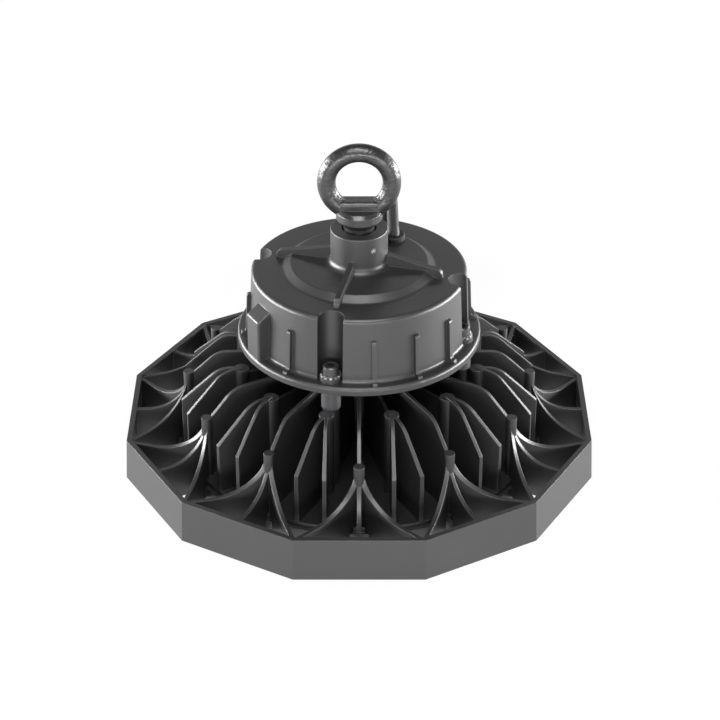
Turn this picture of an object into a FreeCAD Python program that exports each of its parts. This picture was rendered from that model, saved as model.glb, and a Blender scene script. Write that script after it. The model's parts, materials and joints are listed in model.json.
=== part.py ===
"""High bay light: a twelve-sided finned heat sink with the lamp board under it,
and a round driver housing on four spacers above it, hung from an eye bolt.

Millimetres, +Z up. The origin is on the lamp's axis, on the level of the rim's
lower edge. Bearings are degrees from the front (-Y) towards the right (+X).
"""
import FreeCAD, Part
import math
import os

Vector = FreeCAD.Vector
UP = Vector(0, 0, 1)
BACKWARD = Vector(0, 1, 0)
ORIGIN = Vector(0, 0, 0)

# ---- fits and clearances --------------------------------------------------
thread_gap = 0.05         # radial, between a screw and its tapped hole
slip_gap = 0.25           # radial, between a screw and its plain hole
seat_gap = 0.2            # around a piece that drops into a recess
tip_gap = 0.3             # beyond a screw's tip, in a blind hole
overlap = 1.0             # how far a fused shape starts inside its neighbour
past = 1.0                # how far a cutting shape runs past the face it cuts

# ---- heat sink: rim and floor ---------------------------------------------
sides = 12
rim_corner_radius = 133.0     # centre to a corner, at the top edge
rim_flare = 1.2               # how much wider the lower edge is
rim_height = 24.2
rim_wall = 3.0
floor_radius = 100.0
floor_top = 12.0
floor_thickness = 3.5
skirt_ledge_width = 2.0       # the skirt's ledge, outside the floor's edge
skirt_ledge_drop = 3.0        # and below the floor
skirt_thickness = 7.0

# ---- heat sink: fins ------------------------------------------------------
fin_root_thickness = 2.6
fin_tip_thickness = 1.8
fin_top = 61.5
fin_knee_radius = 78.5        # where the fin's top edge turns down
fin_knee_round = 14.0
fork_end_height = 41.0
boss_set_in = 4.5             # from the floor's edge to the bosses' circle
boss_diameter = 5.8
boss_top = 48.2
pillar_set_out = 9.0          # from the mounting circle to the pillars' circle
pillar_diameter = 8.0
pillar_top = 61.0
inner_fin_top = 58.0
fork_spread = 4.5             # degrees, of each forked fin's free end
petal_start = 0.5             # where its hollow top edge starts, outside the bosses' circle
petal_sweep = 24.0            # radius of the petal's hollow top edge
petal_edge_drop = 0.8         # where a petal meets the rim, below the rim's top
hub_radius = 14.0
wire_bore = 9.0

# ---- lamp board and lens --------------------------------------------------
pad_thickness = 0.5
pad_margin = 1.0              # how much smaller the pad is than the board, all round
board_thickness = 1.6
board_margin = 7.0            # from the board's edge to the skirt
led_rings = ((24.0, 8), (48.0, 16), (72.0, 24))   # circle radius, count
led_size = 5.0
led_height = 0.7
lens_gap = 0.5
lens_thickness = 2.0
lens_clearance = 0.5          # between the lens's edge and the skirt
dome_radius = 7.2
dome_height = 2.4
dome_root = 0.5               # how far a dome reaches into the plate
gasket_width = 3.6
clamp_ring_thickness = 2.4
clamp_ring_cover = 6.5        # how far it reaches in under the lens
clamp_ring_bevel = 1.6
clamp_screw_count = 12
small_screw = 3.0             # thread of the small screws
countersunk_head = 5.5
countersunk_depth = 1.7
small_hex_key = 2.0
small_hex_depth = 1.0
clamp_screw_length = 8.0
board_screw_circle = 36.0
board_screw_count = 6
board_screw_length = 4.2
wafer_head = 5.6
wafer_height = 0.9
wafer_bevel = 0.5

# ---- how the driver housing stands on the heat sink -----------------------
mount_bearings = (-15.0, 75.0, 165.0, 255.0)
mount_circle_radius = 58.1
mount_boss_diameter = 9.4
mount_boss_top = 61.0
spacer_diameter = 10.4
spacer_length = 12.7
mount_screw = 5.0
mount_screw_length = 30.0
cap_head_diameter = 8.5
cap_head_height = 5.0
screw_bevel = 0.6
hex_key = 4.0
hex_depth = 2.5
lock_washer_diameter = 11.5
lock_washer_thickness = 1.0
lock_washer_teeth = 12
lock_washer_tooth = 1.3
lock_washer_land = 0.44       # a tooth's width, as a share of the pitch

# ---- driver housing -------------------------------------------------------
flange_radius = 67.0
flange_thickness = 4.4
wall_foot_radius = 60.5
wall_top_radius = 58.8
wall_height = 37.1            # flange to the top's outer step
roof_thickness = 3.5
wall_foot_thickness = 4.5
wall_top_thickness = 3.5
crown_radius = 37.3           # the raised middle of the top
crown_rise = 3.4
crown_slope = 4.6
notch_radius = 7.0
notch_set_in = 1.1            # the notch's round bottom, inside the screw's place
notch_wall = 3.0
flange_round = 1.8
roof_round = 2.5
crown_round = 1.2
crown_foot_round = 2.5
hub_foot_round = 3.5
hub_lip_round = 0.6
small_round = 1.2
pad_rise = 2.4
pad_diameter = 11.8
eye_hub_radius = 15.6
eye_hub_rise = 20.7           # above the crown
eye_hub_foot = 4.5            # how much wider the hub is below the crown
eye_hub_cup_radius = 9.4      # the cup in the hub's top, for the lock nut
eye_bore_wall = 4.0           # round the eye bolt's thread, inside the housing
eye_bore_spare = 4.0          # thread beyond the eye bolt's end
strap_thickness = 3.0         # the four straps over the top
strap_hub_rise = 7.7
strap_mid_radius = 30.6
strap_mid_rise = 3.8
strap_end_radius = 46.3
strap_end_rise = 0.9
strap_end_round = 4.0
strap_foot_radius = 47.0
wall_rib_width = 2.5
wall_rib_proud = 2.3
wall_rib_top_drop = 12.2      # below the outer step of the top
wall_rib_toe_set_in = 1.7     # inside the flange's edge
wall_rib_toe_height = 1.6
wall_rib_offsets = (22.5, 45.0, 67.5)
rib_top_round = 1.5
entry_block_bearing = -60.0
entry_block_width = 13.0
entry_block_set_in = 0.7      # inside the flange's edge
entry_block_top_drop = 8.8
entry_block_slope_drop = 4.9

# ---- base plate and driver ------------------------------------------------
base_plate_thickness = 2.5
base_plate_ledge = 2.0        # how far the plate reaches past the driver's room
housing_gasket_thickness = 1.0
housing_gasket_width = 7.5
base_screw_set_in = 2.4       # from the room's wall to the screws' circle
base_screw_offsets = (30.0, 60.0)
base_screw_length = 9.0
base_screw_boss = 7.0
base_screw_boss_height = 12.0
board_post_height = 4.0
board_post_diameter = 7.0
board_post_set_in = 5.0       # from the driver board's edge
board_post_bearings = (30.0, 120.0, 210.0, 300.0)
driver_board_gap = 2.0        # between the driver board and the grooves' walls
driver_board_thickness = 1.6
insulating_sheet_thickness = 0.4
pan_head = 5.5
pan_height = 2.0
pan_bevel = 0.6
driver_screw_length = 6.0
transformer_place = (-19.0, 4.0)
transformer_width = 30.0
transformer_depth = 11.0
transformer_height = 24.0
transformer_limb = 5.0
transformer_centre_limb = 8.0
winding_diameter = 19.6
winding_gap = 0.3
capacitor_places = ((10.0, -26.0), (28.0, -18.0))
capacitor_diameter = 16.0
capacitor_height = 22.0
capacitor_groove = 0.8
capacitor_groove_level = 2.8
choke_place = (-12.0, -26.0)
choke_outer_radius = 11.0
choke_inner_radius = 4.0
choke_height = 9.0
choke_round = 2.0
spreader_place = (-1.5, 31.0)
spreader_length = 27.0
spreader_foot = 8.0
spreader_height = 20.0
spreader_thickness = 2.0
terminal_width = 12.0
terminal_depth = 10.0
terminal_height = 11.0
terminal_hole_depth = 6.0
led_lead_diameter = 2.0
led_lead_pitch = 5.0
lead_tail = 2.0
core_diameter = 2.2
core_pitch = 2.6

conduit_diameter = 16.0
conduit_seal_thickness = 1.0
conduit_seal_diameter = 15.0

# ---- eye bolt -------------------------------------------------------------
eye_ring_radius = 17.5        # to the middle of the ring's section
eye_ring_section = 10.0
eye_ring_rise = 27.0          # foot's underside to the ring's centre
eye_foot_radius = 8.5         # where the eye bolt stands on its lock nut
eye_foot_height = 2.0
eye_collar_radius = 12.5
eye_collar_slope = 4.2        # height of the cone from the foot to the collar
eye_collar_height = 6.0
eye_collar_bevel = 1.9
eye_pad_width = 20.0          # the flat that fills the ring's inner bottom
eye_pad_thickness = 10.2
eye_pad_rise = 4.6            # above the collar
eye_pad_round = 1.8
eye_shank = 10.0
eye_shank_bevel = 0.8
eye_shank_length = 20.0
lock_nut_flats = 16.0
lock_nut_height = 5.0
grub_screw = 3.0
grub_bearing = 30.0
grub_drop = 7.4               # below the hub's top
grub_recess = 0.1
grub_socket = 1.5
grub_socket_depth = 1.5

# ---- supply cable ---------------------------------------------------------
cable_diameter = 6.4
gland_place = (18.9, 26.1)
gland_flange_diameter = 13.0
gland_flange_height = 2.7
gland_flange_bevel = 0.6
gland_boot_diameter = 7.2
gland_boot_wall = 0.2         # round the cable, at the boot's end
gland_spigot_diameter = 8.0
gland_spigot_end = 1.0        # below the nut
gland_seat_diameter = 17.0    # the thicker place in the top, for the nut
gland_nut_flats = 13.0
gland_nut_height = 3.0
# The cable's route: out of the gland, in an arch over the top and down behind
# the lamp, over the rim and on to the top turn of the coil.
cable_route = (
    (18.8, 28.8, 123.6),
    (18.4, 38.6, 134.6),
    (16.9, 51.4, 140.1),
    (16.0, 66.7, 139.6),
    (16.4, 80.2, 132.4),
    (17.2, 90.4, 119.4),
    (16.8, 98.0, 102.0),
    (14.2, 104.6, 84.4),
    (9.6, 111.6, 67.4),
    (2.8, 120.0, 51.8),
    (-7.6, 130.2, 36.6),
    (-14.5, 138.4, 26.4),
    (-20.8, 148.8, 17.4),
    (-25.4, 160.6, 11.4),
    (-27.0, 174.0, 9.3),
)
coil_centre = (6.8, 202.8)
coil_turn_radius = 35.0
coil_layer_rise = 5.7         # from the lower turns' middle to the upper turn's
coil_bevel = 1.5
lead_in_length = 20.0
lead_out_length = 26.0
core_strip = 16.0
core_spread = 1.3             # from the cable's middle to a core's
core_end_diameter = 1.9

# ---- levels worked out from the sizes above -------------------------------
rim_flat = math.cos(math.pi / sides)          # flat distance over corner distance
pitch = 360.0 / sides
skirt_outer_radius = floor_radius + skirt_ledge_width
skirt_inner_radius = skirt_outer_radius - skirt_thickness
boss_circle_radius = floor_radius - boss_set_in
pillar_circle_radius = mount_circle_radius + pillar_set_out
board_radius = skirt_inner_radius - board_margin
pad_radius = board_radius - pad_margin
lens_radius = skirt_inner_radius - lens_clearance
clamp_ring_inner_radius = skirt_inner_radius - clamp_ring_cover
clamp_screw_circle = (skirt_inner_radius + skirt_outer_radius) / 2
cavity_foot_radius = wall_foot_radius - wall_foot_thickness
cavity_top_radius = wall_top_radius - wall_top_thickness
base_plate_radius = cavity_foot_radius + base_plate_ledge
base_screw_circle = cavity_foot_radius - base_screw_set_in
notch_depth_radius = mount_circle_radius - notch_set_in
groove_column = 2 * (notch_radius + notch_wall)
driver_board_radius = notch_depth_radius - groove_column / 2 - driver_board_gap
board_post_circle = driver_board_radius - board_post_set_in
floor_under = floor_top - floor_thickness
board_top = floor_under - pad_thickness
board_under = board_top - board_thickness
led_under = board_under - led_height
lens_top = led_under - lens_gap
lens_under = lens_top - lens_thickness
clamp_ring_under = lens_under - clamp_ring_thickness
housing_base = mount_boss_top + spacer_length
flange_top = housing_base + flange_thickness
roof = flange_top + wall_height
crown = roof + crown_rise
cavity_roof = roof - roof_thickness
pad_top = flange_top + pad_rise
head_seat = pad_top + lock_washer_thickness
mount_screw_tip = head_seat - mount_screw_length
hub_top = crown + eye_hub_rise
cup_floor = hub_top - lock_nut_height
eye_bore_end = hub_top - eye_shank_length - eye_bore_spare
collar_under = hub_top + eye_foot_height + eye_collar_slope
collar_top = collar_under + eye_collar_height
eye_centre = hub_top + eye_ring_rise
plate_top = housing_base + base_plate_thickness
ledge = plate_top + housing_gasket_thickness
driver_board_under = plate_top + board_post_height
driver_board_top = driver_board_under + driver_board_thickness
conduit_low = fin_top + conduit_seal_thickness
conduit_high = housing_base - conduit_seal_thickness
terminal_top = driver_board_top + terminal_height
gland_under = cavity_roof - gland_nut_height - gland_spigot_end


# ---- helpers --------------------------------------------------------------
def at(radius, bearing, z=0.0):
    """The point at a radius and bearing."""
    turn = math.radians(bearing)
    return Vector(radius * math.sin(turn), -radius * math.cos(turn), z)


def turned_to(shape, bearing):
    """A copy turned from the front to a bearing."""
    copy = shape.copy()
    copy.rotate(ORIGIN, UP, bearing)
    return copy


def round_the_axis(shape, bearings):
    """Copies of a shape made at bearing 0."""
    return [turned_to(shape, bearing) for bearing in bearings]


def outline(points, place):
    """A closed wire through (a, b) or (a, b, corner radius) points."""
    corners = [Vector(*place(p[0], p[1])) for p in points]
    radii = [p[2] if len(p) > 2 else 0.0 for p in points]
    starts, ends, edges = [], [], []
    for i, corner in enumerate(corners):
        back = (corners[i - 1] - corner).normalize()
        on = (corners[(i + 1) % len(corners)] - corner).normalize()
        half = back.getAngle(on) / 2
        reach = radii[i] / math.tan(half)
        starts.append(corner + back * reach)
        ends.append(corner + on * reach)
        if radii[i] > 0.0:
            crest = corner + (back + on).normalize() * (radii[i] / math.sin(half) - radii[i])
            edges.append(Part.Arc(starts[i], crest, ends[i]).toShape())
    for i in range(len(corners)):
        edges.append(Part.LineSegment(ends[i - 1], starts[i]).toShape())
    return Part.Wire(Part.__sortEdges__(edges))


def turned(points):
    """A solid turned about the Z axis from an (r, z) outline."""
    face = Part.Face(outline(points, lambda r, z: (r, 0.0, z)))
    return face.revolve(ORIGIN, UP, 360)


def cut_from_plate(points, width):
    """A rib at bearing 0: an (r, z) outline, centred on its width."""
    face = Part.Face(outline(points, lambda r, z: (-width / 2, -r, z)))
    return face.extrude(Vector(width, 0, 0))


def rod(diameter, z_low, z_high, centre=ORIGIN):
    """A vertical cylinder."""
    start = Vector(centre.x, centre.y, z_low)
    return Part.makeCylinder(diameter / 2, z_high - z_low, start, UP)


def ring(outer_radius, inner_radius, z_low, z_high):
    """A flat ring on the axis."""
    return rod(2 * outer_radius, z_low, z_high).cut(rod(2 * inner_radius, z_low - past, z_high + past))


def regular_prism(corner_radius, count, z_low, z_high, centre=ORIGIN, turn=0.0):
    """An upright prism with its corners on a circle."""
    corners = [at(corner_radius, turn + i * 360.0 / count) for i in range(count)]
    corners = [Vector(c.x + centre.x, c.y + centre.y, z_low) for c in corners]
    face = Part.Face(Part.makePolygon(corners + corners[:1]))
    return face.extrude(Vector(0, 0, z_high - z_low))


def hexagon(flats, z_low, z_high, centre=ORIGIN):
    """An upright hexagonal prism."""
    return regular_prism(flats / 2 / math.cos(math.pi / 6), 6, z_low, z_high, centre)


def web(start, end, z_low, z_high):
    """A cast wall between two plan points, thinner at its top."""
    across = UP.cross((end - start).normalize())
    corners = []
    for z, thickness in ((z_low, fin_root_thickness), (z_high, -fin_tip_thickness)):
        for side in (-0.5, 0.5):
            corner = start + across * (side * thickness)
            corners.append(Vector(corner.x, corner.y, z))
    section = Part.Face(Part.makePolygon(corners + corners[:1]))
    return section.extrude(end - start)


def frustum(low, high):
    """A solid between two level polygons with as many corners."""
    rings = [low, high]
    rings += [[low[i - 1], low[i], high[i], high[i - 1]] for i in range(len(low))]
    faces = [Part.Face(Part.makePolygon(corners + corners[:1])) for corners in rings]
    solid = Part.Solid(Part.Shell(faces))
    if solid.Volume < 0:
        solid.reverse()
    return solid


def countersunk(length, diameter, head, depth):
    """A countersunk screw pointing up, its head's face at z = 0."""
    return turned(((0, 0), (head / 2, 0), (diameter / 2, depth), (diameter / 2, length), (0, length)))


def copies_at(shape, places, z=0.0):
    """Copies of a shape made on the axis, moved to plan places at a level."""
    return Part.makeCompound([shape.translated(Vector(p.x, p.y, z)) for p in places])


def fuse_all(shapes):
    """One solid from shapes that touch."""
    whole = shapes[0].multiFuse(shapes[1:]) if len(shapes) > 1 else shapes[0]
    return whole.removeSplitter()


# ---- heat sink ------------------------------------------------------------
def rim_band(inset, z_low, z_high):
    """A twelve-sided solid that is a little wider at its foot."""
    levels = []
    for z in (z_low, z_high):
        radius = rim_corner_radius + rim_flare * (1 - z / rim_height) - inset
        levels.append([at(radius, (i + 0.5) * pitch, z) for i in range(sides)])
    return frustum(*levels)


def rim():
    """The twelve-sided band round the foot of the casting."""
    return rim_band(0, 0, rim_height).cut(rim_band(rim_wall / rim_flat, -past, rim_height + past))


def floor_and_skirt():
    """The floor that carries the lamp board, and the wall round the lens."""
    ledge_level = floor_top - skirt_ledge_drop
    return turned((
        (0, floor_under), (skirt_inner_radius, floor_under),
        (skirt_inner_radius, lens_under), (skirt_outer_radius, lens_under),
        (skirt_outer_radius, ledge_level), (floor_radius, ledge_level),
        (floor_radius, floor_top), (0, floor_top)))


def fin_envelope():
    """The space that the tall fins fill: level, then down to the floor's edge."""
    inner = hub_radius - overlap
    return turned((
        (inner, floor_under + overlap), (floor_radius, floor_under + overlap),
        (floor_radius, fork_end_height), (fin_knee_radius, fin_top, fin_knee_round),
        (inner, fin_top)))


def petal_envelope():
    """The space that the low fins fill, under a hollow curve out to the rim."""
    edge_top = rim_height - petal_edge_drop
    start = boss_circle_radius - overlap
    sweep_end = boss_circle_radius + petal_start + petal_sweep
    foot = skirt_outer_radius - overlap
    space = turned((
        (start, floor_under + overlap), (foot, floor_under + overlap), (foot, lens_under),
        (rim_corner_radius, lens_under), (rim_corner_radius, edge_top), (sweep_end, edge_top),
        (sweep_end, edge_top + petal_sweep), (start, edge_top + petal_sweep)))
    return space.cut(Part.makeTorus(sweep_end, petal_sweep, Vector(0, 0, edge_top + petal_sweep), UP))


def fin_sector():
    """Everything that repeats once a side, made about bearing 0."""
    low = floor_under + overlap
    corner = pitch / 2
    hub_edge = hub_radius - overlap
    boss_at = at(boss_circle_radius, 0)
    pillar_at = at(pillar_circle_radius, corner)
    tall = [web(at(hub_edge, 0), boss_at, low, fin_top)]
    for spread in (-fork_spread, fork_spread):
        tall.append(web(pillar_at, at(floor_radius + past, corner + spread), low, fin_top))
    rim_middle = rim_wall / 2
    rim_ends = [at(rim_corner_radius * rim_flat - rim_middle, 0)]
    rim_ends += [at(rim_corner_radius - rim_middle, bearing) for bearing in (-corner, corner)]
    petals = [web(boss_at, end, lens_under, boss_top) for end in rim_ends]
    walls = [wall.common(fin_envelope()) for wall in tall]
    walls += [wall.common(petal_envelope()) for wall in petals]
    walls.append(web(at(hub_edge, corner), pillar_at, low, inner_fin_top))
    return walls + [rod(boss_diameter, low, boss_top, boss_at),
                    rod(pillar_diameter, low, pillar_top, pillar_at)]


def clamp_screw_bearings():
    """Where the clamp ring is screwed to the skirt."""
    return [(i + 0.5) * 360.0 / clamp_screw_count for i in range(clamp_screw_count)]


def board_screw_places():
    """Where the lamp board's screws stand."""
    return [at(board_screw_circle, (i + 0.5) * 360.0 / board_screw_count)
            for i in range(board_screw_count)]


def heat_sink():
    """The one-piece casting."""
    low = floor_under + overlap
    sector = fin_sector()
    pieces = [floor_and_skirt(), rim(), rod(2 * hub_radius, low, fin_top)]
    for i in range(sides):
        pieces += [turned_to(piece, i * pitch) for piece in sector]
    pieces += [rod(mount_boss_diameter, low, mount_boss_top, at(mount_circle_radius, bearing))
               for bearing in mount_bearings]
    holes = [rod(wire_bore, floor_under - past, fin_top + past)]
    holes += [rod(mount_screw + 2 * thread_gap, mount_screw_tip - tip_gap, mount_boss_top + past,
                  at(mount_circle_radius, bearing)) for bearing in mount_bearings]
    holes += [rod(small_screw + 2 * thread_gap, lens_under - past,
                  clamp_ring_under + clamp_screw_length + tip_gap, at(clamp_screw_circle, bearing))
              for bearing in clamp_screw_bearings()]
    holes += [rod(small_screw + 2 * thread_gap, floor_under - past,
                  board_under + board_screw_length + tip_gap, place) for place in board_screw_places()]
    return fuse_all(pieces).cut(Part.makeCompound(holes))


# ---- lamp board and lens --------------------------------------------------
def led_places():
    """Where the light-emitting packages sit."""
    return [(radius, (i + 0.5) * 360.0 / count) for radius, count in led_rings for i in range(count)]


def lead_places():
    """Where the two leads pass down the axis."""
    return [Vector(side * led_lead_pitch / 2, 0, 0) for side in (-1, 1)]


def thermal_pad():
    """The silicone sheet between board and floor."""
    low, high = board_top, floor_under
    holes = [rod(wire_bore, low - past, high + past)]
    holes += [rod(small_screw + 2 * slip_gap, low - past, high + past, place)
              for place in board_screw_places()]
    return rod(2 * pad_radius, low, high).cut(Part.makeCompound(holes))


def led_board():
    """The aluminium board that carries the light sources."""
    low, high = board_under, board_top
    holes = [rod(small_screw + 2 * slip_gap, low - past, high + past, place)
             for place in board_screw_places()]
    holes += [rod(led_lead_diameter + 2 * thread_gap, low - past, high + past, place)
              for place in lead_places()]
    return rod(2 * board_radius, low, high).cut(Part.makeCompound(holes))


def led_packages():
    """The light sources, three rings of square packages."""
    half = led_size / 2
    packages = [turned_to(Part.makeBox(led_size, led_size, led_height,
                                       Vector(-half, -radius - half, led_under)), bearing)
                for radius, bearing in led_places()]
    return Part.makeCompound(packages)


def board_screws():
    """Low-headed screws that hold the board to the floor."""
    head, shank = wafer_head / 2, small_screw / 2
    screw = turned((
        (0, -wafer_height), (head - wafer_bevel, -wafer_height), (head, 0),
        (shank, 0), (shank, board_screw_length), (0, board_screw_length)))
    return copies_at(screw, board_screw_places(), board_under)


def lens_cover():
    """The clear cover, with one shallow dome below each light source."""
    ball = (dome_radius ** 2 + dome_height ** 2) / (2 * dome_height)
    low = lens_under - dome_height
    cap = Part.makeSphere(ball, Vector(0, 0, low + ball)).common(
        rod(2 * ball, low - past, lens_under + dome_root))
    domes = [turned_to(cap.translated(Vector(0, -radius, 0)), bearing)
             for radius, bearing in led_places()]
    return fuse_all([rod(2 * lens_radius, lens_under, lens_top)] + domes)


def lens_gasket():
    """The soft ring that seals the lens against the floor."""
    outer = skirt_inner_radius - seat_gap
    return ring(outer, outer - gasket_width, lens_top, floor_under)


def small_countersinks(bearings, circle, level, depth):
    """Holes for small countersunk screws, from a level up."""
    hole = countersunk(depth + past, small_screw + 2 * slip_gap,
                       countersunk_head + 2 * thread_gap, countersunk_depth)
    return round_the_axis(hole.translated(at(circle, 0, level)), bearings)


def small_countersunk_screws(bearings, circle, level, length):
    """Small countersunk screws with a hexagon socket, their heads at a level."""
    screw = countersunk(length, small_screw, countersunk_head, countersunk_depth)
    screw = screw.cut(hexagon(small_hex_key, -past, small_hex_depth))
    return Part.makeCompound(round_the_axis(screw.translated(at(circle, 0, level)), bearings))


def lens_clamp_ring():
    """The flat ring that clamps the lens to the skirt."""
    body = turned((
        (clamp_ring_inner_radius, lens_under),
        (clamp_ring_inner_radius + clamp_ring_bevel, clamp_ring_under),
        (skirt_outer_radius, clamp_ring_under), (skirt_outer_radius, lens_under)))
    holes = small_countersinks(clamp_screw_bearings(), clamp_screw_circle, clamp_ring_under,
                               clamp_ring_thickness)
    return body.cut(Part.makeCompound(holes))


def lens_ring_screws():
    """Countersunk screws, flush in the clamp ring."""
    return small_countersunk_screws(clamp_screw_bearings(), clamp_screw_circle, clamp_ring_under,
                                    clamp_screw_length)


# ---- between heat sink and housing ----------------------------------------
def mount_places():
    """Where the housing is screwed to the heat sink."""
    return [at(mount_circle_radius, bearing) for bearing in mount_bearings]


def standoff_spacers():
    """Four tubes that hold the housing clear of the hot fins."""
    tube = rod(spacer_diameter, mount_boss_top, housing_base)
    tube = tube.cut(rod(mount_screw + 2 * slip_gap, mount_boss_top - past, housing_base + past))
    return copies_at(tube, mount_places())


def wire_conduit():
    """The tube that takes the lamp leads across the air gap."""
    return ring(conduit_diameter / 2, wire_bore / 2, conduit_low, conduit_high)


def conduit_seals():
    """Soft washers at both ends of the conduit."""
    low = ring(conduit_seal_diameter / 2, wire_bore / 2, fin_top, conduit_low)
    high = ring(conduit_seal_diameter / 2, wire_bore / 2, conduit_high, housing_base)
    return Part.makeCompound([low, high])


# ---- driver housing -------------------------------------------------------
def wall_radius(z):
    """The sloping wall's radius at a height."""
    share = (z - flange_top) / wall_height
    return wall_foot_radius + (wall_top_radius - wall_foot_radius) * share


def wall_ribs():
    """The upright ribs on the wall, each with a toe along the flange."""
    low = flange_top - overlap
    top = roof - wall_rib_top_drop
    toe = flange_top + wall_rib_toe_height
    inside = cavity_foot_radius + overlap
    rib = cut_from_plate((
        (inside, low), (flange_radius - wall_rib_toe_set_in, low),
        (flange_radius - wall_rib_toe_set_in, toe, small_round),
        (wall_radius(toe) + wall_rib_proud, toe, small_round),
        (wall_radius(top) + wall_rib_proud, top, rib_top_round),
        (inside, top)), wall_rib_width)
    ribs = []
    for notch in mount_bearings:
        for offset in wall_rib_offsets:
            bearing = notch + offset
            if (bearing - entry_block_bearing) % 360 != 0:
                ribs.append(turned_to(rib, bearing))
    return ribs


def entry_block():
    """The solid block on the wall, for a second cable entry."""
    low = flange_top - overlap
    top = roof - entry_block_top_drop
    inside = cavity_foot_radius + overlap
    face = flange_radius - entry_block_set_in
    block = cut_from_plate((
        (inside, low), (face, low), (face, top - entry_block_slope_drop, rib_top_round),
        (wall_radius(top), top), (inside, top)), entry_block_width)
    uprights = [edge for edge in block.Edges
                if abs(edge.BoundBox.YMin + face) < 1e-3
                and edge.BoundBox.YLength < 1e-3 and edge.BoundBox.XLength < 1e-3]
    return turned_to(block.makeFillet(small_round, uprights), entry_block_bearing)


def top_straps():
    """The four straps from the hub out over the top."""
    inside = eye_hub_radius - 2 * overlap
    strap = cut_from_plate((
        (inside, roof - overlap), (inside, crown + strap_hub_rise),
        (strap_mid_radius, crown + strap_mid_rise),
        (strap_end_radius, crown + strap_end_rise, strap_end_round),
        (strap_foot_radius, roof - overlap)), strap_thickness)
    return round_the_axis(strap, mount_bearings)


def notch_space():
    """The upright groove that lets a key reach a mounting screw."""
    centre = at(notch_depth_radius, 0)
    height = crown + past - flange_top
    bottom = rod(2 * notch_radius, flange_top, flange_top + height, centre)
    mouth = Part.makeBox(2 * notch_radius, flange_radius, height,
                         Vector(-notch_radius, centre.y - flange_radius, flange_top))
    return bottom.fuse(mouth)


def base_screw_bearings():
    """Where the base plate is screwed to the housing."""
    return [notch + offset for notch in mount_bearings for offset in base_screw_offsets]


def lobed_disc(radius, z_low, z_high, margin):
    """A disc with a bay for each mounting column."""
    column = rod(groove_column + 2 * margin, z_low - past, z_high + past, at(mount_circle_radius, 0))
    disc = rod(2 * radius, z_low, z_high)
    return disc.cut(Part.makeCompound(round_the_axis(column, mount_bearings)))


def driver_room():
    """The space for the driver, less what stands in it."""
    crown_room = crown_radius - roof_thickness
    room = turned((
        (0, ledge - overlap), (cavity_foot_radius, ledge - overlap),
        (cavity_top_radius, cavity_roof), (crown_room + crown_rise, cavity_roof),
        (crown_room, crown - roof_thickness), (0, crown - roof_thickness)))
    standing = [rod(groove_column, ledge - 2 * overlap, crown, at(notch_depth_radius, bearing))
                for bearing in mount_bearings]
    standing += [rod(base_screw_boss, ledge, ledge + base_screw_boss_height,
                     at(base_screw_circle, bearing)) for bearing in base_screw_bearings()]
    standing.append(rod(eye_shank + 2 * eye_bore_wall, eye_bore_end - roof_thickness, crown))
    standing.append(rod(gland_seat_diameter, cavity_roof, crown, Vector(*gland_place, 0)))
    return room.cut(Part.makeCompound(standing))


def housing_holes():
    """The holes for screws, gland, eye bolt and its lock nut."""
    holes = [
        rod(2 * eye_hub_cup_radius, cup_floor, hub_top + past),
        rod(eye_shank + 2 * thread_gap, eye_bore_end, cup_floor + past),
        rod(gland_spigot_diameter + 2 * thread_gap, cavity_roof - past, crown + past,
            Vector(*gland_place, 0)),
        Part.makeCylinder(grub_screw / 2 + thread_gap, eye_hub_radius + past,
                          Vector(0, 0, hub_top - grub_drop), at(1, grub_bearing))]
    holes += [rod(mount_screw + 2 * slip_gap, housing_base - past, pad_top + past, place)
              for place in mount_places()]
    holes += [rod(small_screw + 2 * thread_gap, ledge - past,
                  housing_base + base_screw_length + tip_gap, at(base_screw_circle, bearing))
              for bearing in base_screw_bearings()]
    return holes


def driver_housing():
    """The cast cup that covers the driver and carries the eye bolt."""
    shell = turned((
        (0, housing_base), (flange_radius, housing_base), (flange_radius, flange_top, flange_round),
        (wall_foot_radius, flange_top, flange_round), (wall_top_radius, roof, roof_round),
        (crown_radius + crown_slope, roof, crown_foot_round), (crown_radius, crown, crown_round),
        (0, crown)))
    hub_foot = eye_hub_radius + eye_hub_foot
    hub = turned((
        (0, roof - overlap), (hub_foot, roof - overlap), (hub_foot, crown),
        (eye_hub_radius, crown, hub_foot_round), (eye_hub_radius, hub_top, hub_lip_round),
        (0, hub_top)))
    body = fuse_all([shell, hub, entry_block()] + wall_ribs() + top_straps())
    body = body.cut(Part.makeCompound(round_the_axis(notch_space(), mount_bearings)))
    pads = [rod(pad_diameter, flange_top - overlap, pad_top, place) for place in mount_places()]
    recess = lobed_disc(base_plate_radius + seat_gap, housing_base - past, ledge, -seat_gap)
    body = fuse_all([body] + pads).cut(driver_room()).cut(recess)
    return body.cut(Part.makeCompound(housing_holes()))


def housing_gasket():
    """The soft sheet gasket on the housing's inner ledge."""
    low, high = plate_top, ledge
    inner = lobed_disc(base_plate_radius - housing_gasket_width, low - past, high + past, notch_wall)
    holes = [rod(small_screw + 2 * slip_gap, low - past, high + past, at(base_screw_circle, bearing))
             for bearing in base_screw_bearings()]
    sheet = lobed_disc(base_plate_radius, low, high, seat_gap)
    return sheet.cut(inner).cut(Part.makeCompound(holes))


def post_places():
    """Where the driver board is screwed down."""
    return [at(board_post_circle, bearing) for bearing in board_post_bearings]


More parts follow.
